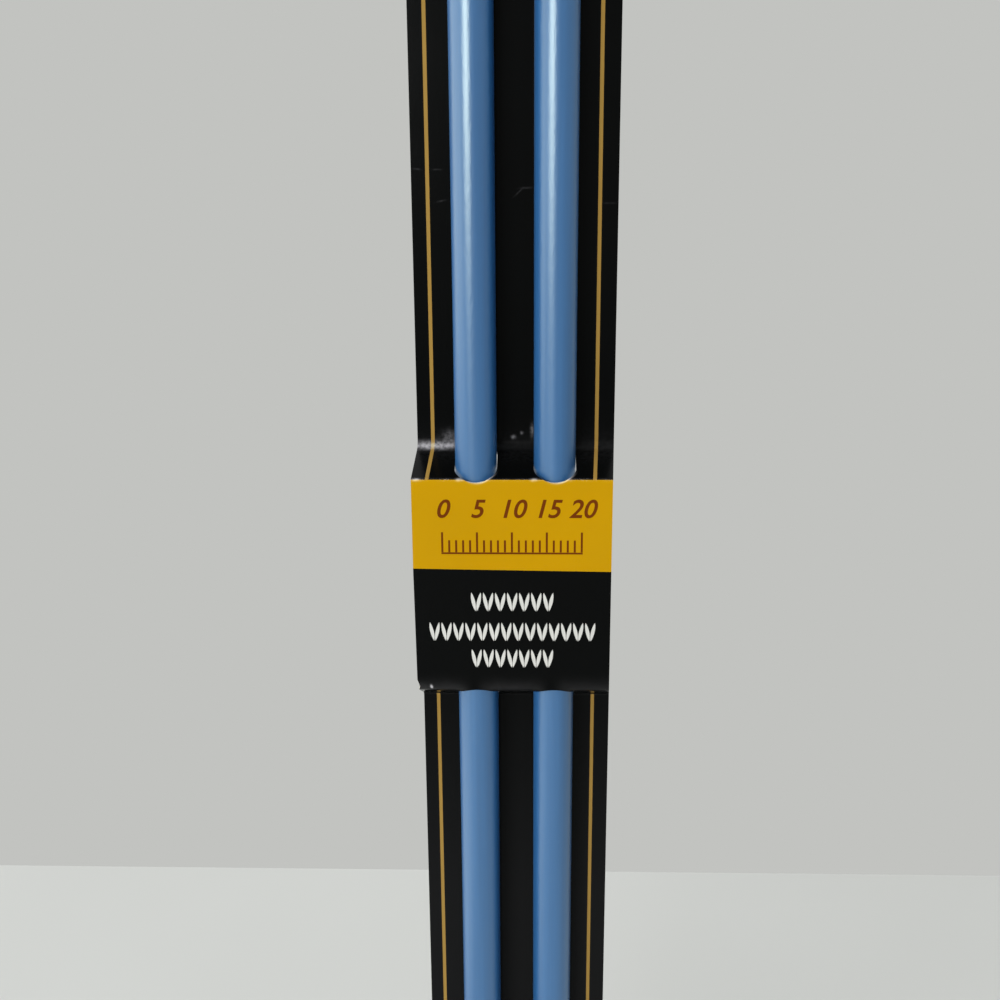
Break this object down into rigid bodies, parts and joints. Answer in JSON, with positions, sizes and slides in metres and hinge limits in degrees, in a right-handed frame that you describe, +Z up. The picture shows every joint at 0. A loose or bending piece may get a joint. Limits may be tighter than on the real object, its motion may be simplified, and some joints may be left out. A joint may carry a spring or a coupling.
{
  "type": "pair of straight knitting needles on a hanging card",
  "caption": "Pair of straight knitting needles with capped ends, threaded through raised bands of a folded hanging card, each free to slide out.",
  "frame": {"origin": "middle of the hang hole, on the front face of the card's header", "axes": "+Z up along the needles towards their caps, front faces -Y, +X to the right seen from the front"},
  "size_m": [0.0286, 0.0103, 0.406],
  "materials": {
    "card_board": "glossy black print on white board, uncoated back",
    "needle_plastic": "satin blue moulded plastic",
    "cap_plastic": "satin blue moulded plastic"
  },
  "bodies": {
    "card_strip": {"card": "card_board"},
    "left_needle": {"left_needle_shaft": "needle_plastic", "left_needle_cap": "cap_plastic"},
    "right_needle": {"right_needle_shaft": "needle_plastic", "right_needle_cap": "cap_plastic"}
  },
  "joints": [
    {"name": "left_needle_slide", "type": "slide", "parent": "card_strip", "child": "left_needle", "axis": [0, 0, 1], "range_m": [0, 0.34]},
    {"name": "right_needle_slide", "type": "slide", "parent": "card_strip", "child": "right_needle", "axis": [0, 0, 1], "range_m": [0, 0.34]}
  ]
}
